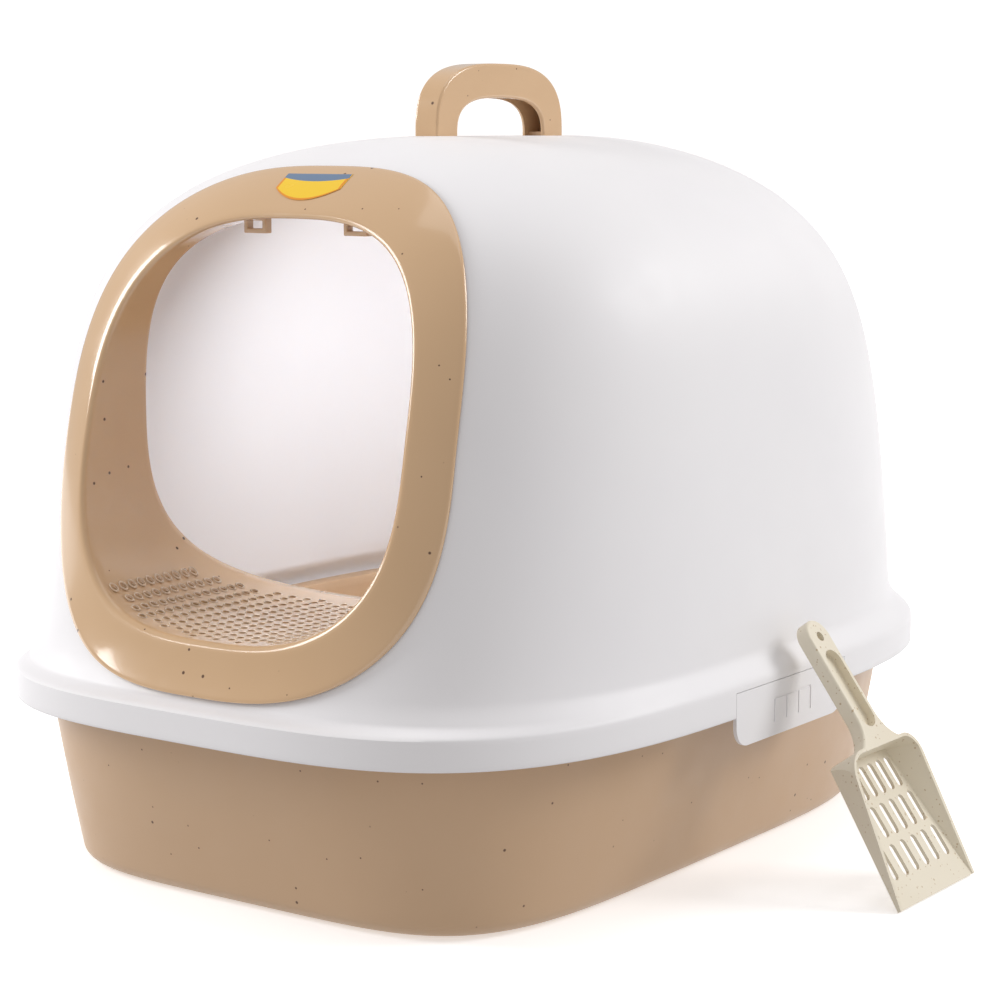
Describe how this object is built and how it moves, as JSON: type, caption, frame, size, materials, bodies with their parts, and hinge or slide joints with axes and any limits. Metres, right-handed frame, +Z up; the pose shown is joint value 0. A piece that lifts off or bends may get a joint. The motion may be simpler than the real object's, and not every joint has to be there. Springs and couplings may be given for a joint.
{
  "type": "hooded cat litter box",
  "caption": "Hooded cat litter box: open tray, lift-off domed hood with snap latches, framed round entry with a drained step, carrying handle and a slotted scoop.",
  "frame": {"origin": "centre of the tray's flat base, on the floor", "axes": "+Z up, entry faces -Y, +X is to the right of someone facing the entry"},
  "size_m": [0.5184, 0.56, 0.4655],
  "materials": {
    "hood_white": "satin",
    "tray_tan": "semi-gloss with sparse brown speckle",
    "trim_tan": "gloss with sparse brown speckle",
    "scoop_cream": "satin with fine speckle",
    "label_film": "printed film, blank"
  },
  "bodies": {
    "tray": {"litter_tray": "tray_tan"},
    "hood": {"hood_shell": "hood_white", "entry_surround": "trim_tan", "carry_handle": "trim_tan", "label_sticker": "label_film"},
    "latch_right": {"latch_tab_right": "hood_white"},
    "latch_left": {"latch_tab_left": "hood_white"},
    "scoop": {"litter_scoop": "scoop_cream"}
  },
  "joints": [
    {"name": "hood_lift", "type": "slide", "parent": "tray", "child": "hood", "axis": [0, 0, 1], "range_m": [0, 0.35]},
    {"name": "latch_right_hinge", "type": "hinge", "parent": "hood", "child": "latch_right", "pos_m": [0.213, 0.007, 0.1156], "axis": [0, -1, 0], "range_deg": [0, 8], "stiffness_Nm_per_rad": 0.3},
    {"name": "latch_left_hinge", "type": "hinge", "parent": "hood", "child": "latch_left", "pos_m": [-0.213, 0.007, 0.1156], "axis": [0, 1, 0], "range_deg": [0, 8], "stiffness_Nm_per_rad": 0.3},
    {"name": "scoop_lift", "type": "slide", "parent": "tray", "child": "scoop", "axis": [0, 0, 1], "range_m": [0, 0.25]}
  ]
}
